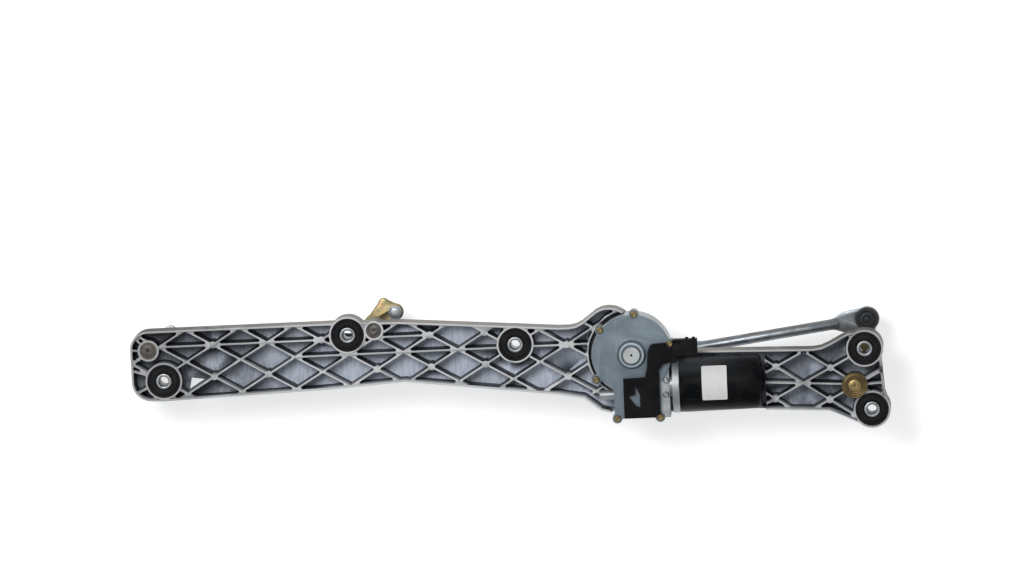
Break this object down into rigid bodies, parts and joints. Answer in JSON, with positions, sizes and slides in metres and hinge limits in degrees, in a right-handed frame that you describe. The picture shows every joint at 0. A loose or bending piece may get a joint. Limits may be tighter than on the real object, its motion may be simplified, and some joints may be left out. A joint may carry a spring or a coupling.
{
  "type": "wiper linkage",
  "caption": "Windscreen wiper linkage on a ribbed cast frame with rubber bushes: a worm-geared motor turns a crank, and push rods swing two wiper spindles.",
  "frame": {"origin": "axis of the centre mounting bush, at the height of the frame's rim", "axes": "+X along the frame toward the two right-hand bushes, +Y across the frame, +Z toward the motor side; the wiper spindles point along -Z"},
  "size_m": [0.8357, 0.1372, 0.1485],
  "materials": {
    "cast_aluminium": "as cast",
    "rubber": "matte",
    "steel": "zinc plated",
    "dark_steel": "oiled",
    "bronze": "sintered",
    "grey_cover": "satin",
    "gold_zinc": "yellow zinc",
    "black_plastic": "moulded",
    "contact_brass": "bright",
    "black_can": "gloss",
    "magnet": "matte",
    "brown_plastic": "moulded",
    "carbon": "matte",
    "white_plastic": "moulded",
    "copper": "bright"
  },
  "bodies": {
    "frame_set": {"frame_casting": "cast_aluminium", "rubber_bush_left": "rubber", "rubber_bush_inner": "rubber", "rubber_bush_centre": "rubber", "rubber_bush_upper": "rubber", "rubber_bush_lower": "rubber", "bush_sleeve_left": "steel", "bush_sleeve_inner": "steel", "bush_sleeve_centre": "steel", "bush_sleeve_upper": "steel", "bush_sleeve_lower": "steel", "right_bearings": "bronze", "left_bearings": "bronze", "idler_bearings": "bronze", "gear_housing": "cast_aluminium", "gear_cover": "grey_cover", "cover_screws": "gold_zinc", "output_bearing": "bronze", "connector_cover": "black_plastic", "connector_pins": "contact_brass", "park_contacts": "contact_brass", "motor_can": "black_can", "can_screws": "steel", "field_magnets": "magnet", "armature_bearings": "bronze", "brush_plate": "brown_plastic", "carbon_brushes": "carbon", "motor_bolts": "gold_zinc"},
    "crank_set": {"worm_wheel": "white_plastic", "contact_disc": "contact_brass", "output_shaft": "steel", "crank_arm": "gold_zinc", "crank_nut": "steel", "crank_ball_stud": "steel", "crank_boot": "rubber"},
    "armature_set": {"armature_shaft": "steel", "worm": "steel", "armature_core": "dark_steel", "commutator": "copper", "armature_windings": "copper"},
    "right_spindle_set": {"right_spindle": "steel", "right_lever": "gold_zinc", "right_ball_stud": "steel", "right_retainer": "gold_zinc"},
    "right_push_rod": {"right_rod": "steel", "right_rod_socket": "black_plastic", "right_rod_cap": "black_plastic"},
    "left_push_rod": {"left_rod": "steel", "left_rod_socket": "black_plastic", "left_rod_cap": "black_plastic"},
    "bell_crank_set": {"idler_shaft": "dark_steel", "bell_crank": "gold_zinc", "input_ball_stud": "steel", "bell_link_pin": "steel", "idler_ring": "dark_steel"},
    "connecting_link": {"connecting_rod": "steel"},
    "left_spindle_set": {"left_spindle": "steel", "left_lever": "gold_zinc", "left_link_pin": "steel", "left_ring": "dark_steel"}
  },
  "joints": [
    {"name": "crank_turn", "type": "hinge", "parent": "frame_set", "child": "crank_set", "pos_m": [0.1284, -0.0092, -0.042], "axis": [0, 0, -1], "range_deg": [0, 180]},
    {"name": "armature_spin", "type": "hinge", "parent": "frame_set", "child": "armature_set", "pos_m": [0.12978, -0.04517, 0.002], "axis": [0.9993, 0.0384, 0], "range_deg": [0, 9360]},
    {"name": "right_spindle_turn", "type": "hinge", "parent": "frame_set", "child": "right_spindle_set", "pos_m": [0.3725, -0.0446, -0.04], "axis": [0, 0, 1], "range_deg": [0, 71.1]},
    {"name": "right_rod_pivot", "type": "hinge", "parent": "right_spindle_set", "child": "right_push_rod", "pos_m": [0.38528, 0.02239, -0.0624], "axis": [0, 0, 1], "range_deg": [-82.75, 0]},
    {"name": "bell_crank_turn", "type": "hinge", "parent": "frame_set", "child": "bell_crank_set", "pos_m": [-0.1553, 0.0153, -0.03], "axis": [0, 0, 1], "range_deg": [-76.01, 0]},
    {"name": "left_rod_pivot", "type": "hinge", "parent": "bell_crank_set", "child": "left_push_rod", "pos_m": [-0.11438, -0.02858, -0.0747], "axis": [0, 0, 1], "range_deg": [0, 79.77]},
    {"name": "link_pivot", "type": "hinge", "parent": "bell_crank_set", "child": "connecting_link", "pos_m": [-0.13459, 0.03035, -0.0534], "axis": [0, 0, 1], "range_deg": [0, 76.01]},
    {"name": "left_spindle_turn", "type": "hinge", "parent": "frame_set", "child": "left_spindle_set", "pos_m": [-0.4037, -0.0073, -0.03], "axis": [0, 0, 1], "range_deg": [-76.01, 0]}
  ],
  "couplings": [
    {"joint": "armature_spin", "follows": "crank_turn", "ratio": 52},
    {"joint": "right_spindle_turn", "follows": "crank_turn", "ratio": 0.39484},
    {"joint": "right_rod_pivot", "follows": "crank_turn", "ratio": -0.45955},
    {"joint": "bell_crank_turn", "follows": "crank_turn", "ratio": -0.42212},
    {"joint": "left_rod_pivot", "follows": "crank_turn", "ratio": 0.44299},
    {"joint": "link_pivot", "follows": "crank_turn", "ratio": 0.42212},
    {"joint": "left_spindle_turn", "follows": "crank_turn", "ratio": -0.42212}
  ]
}
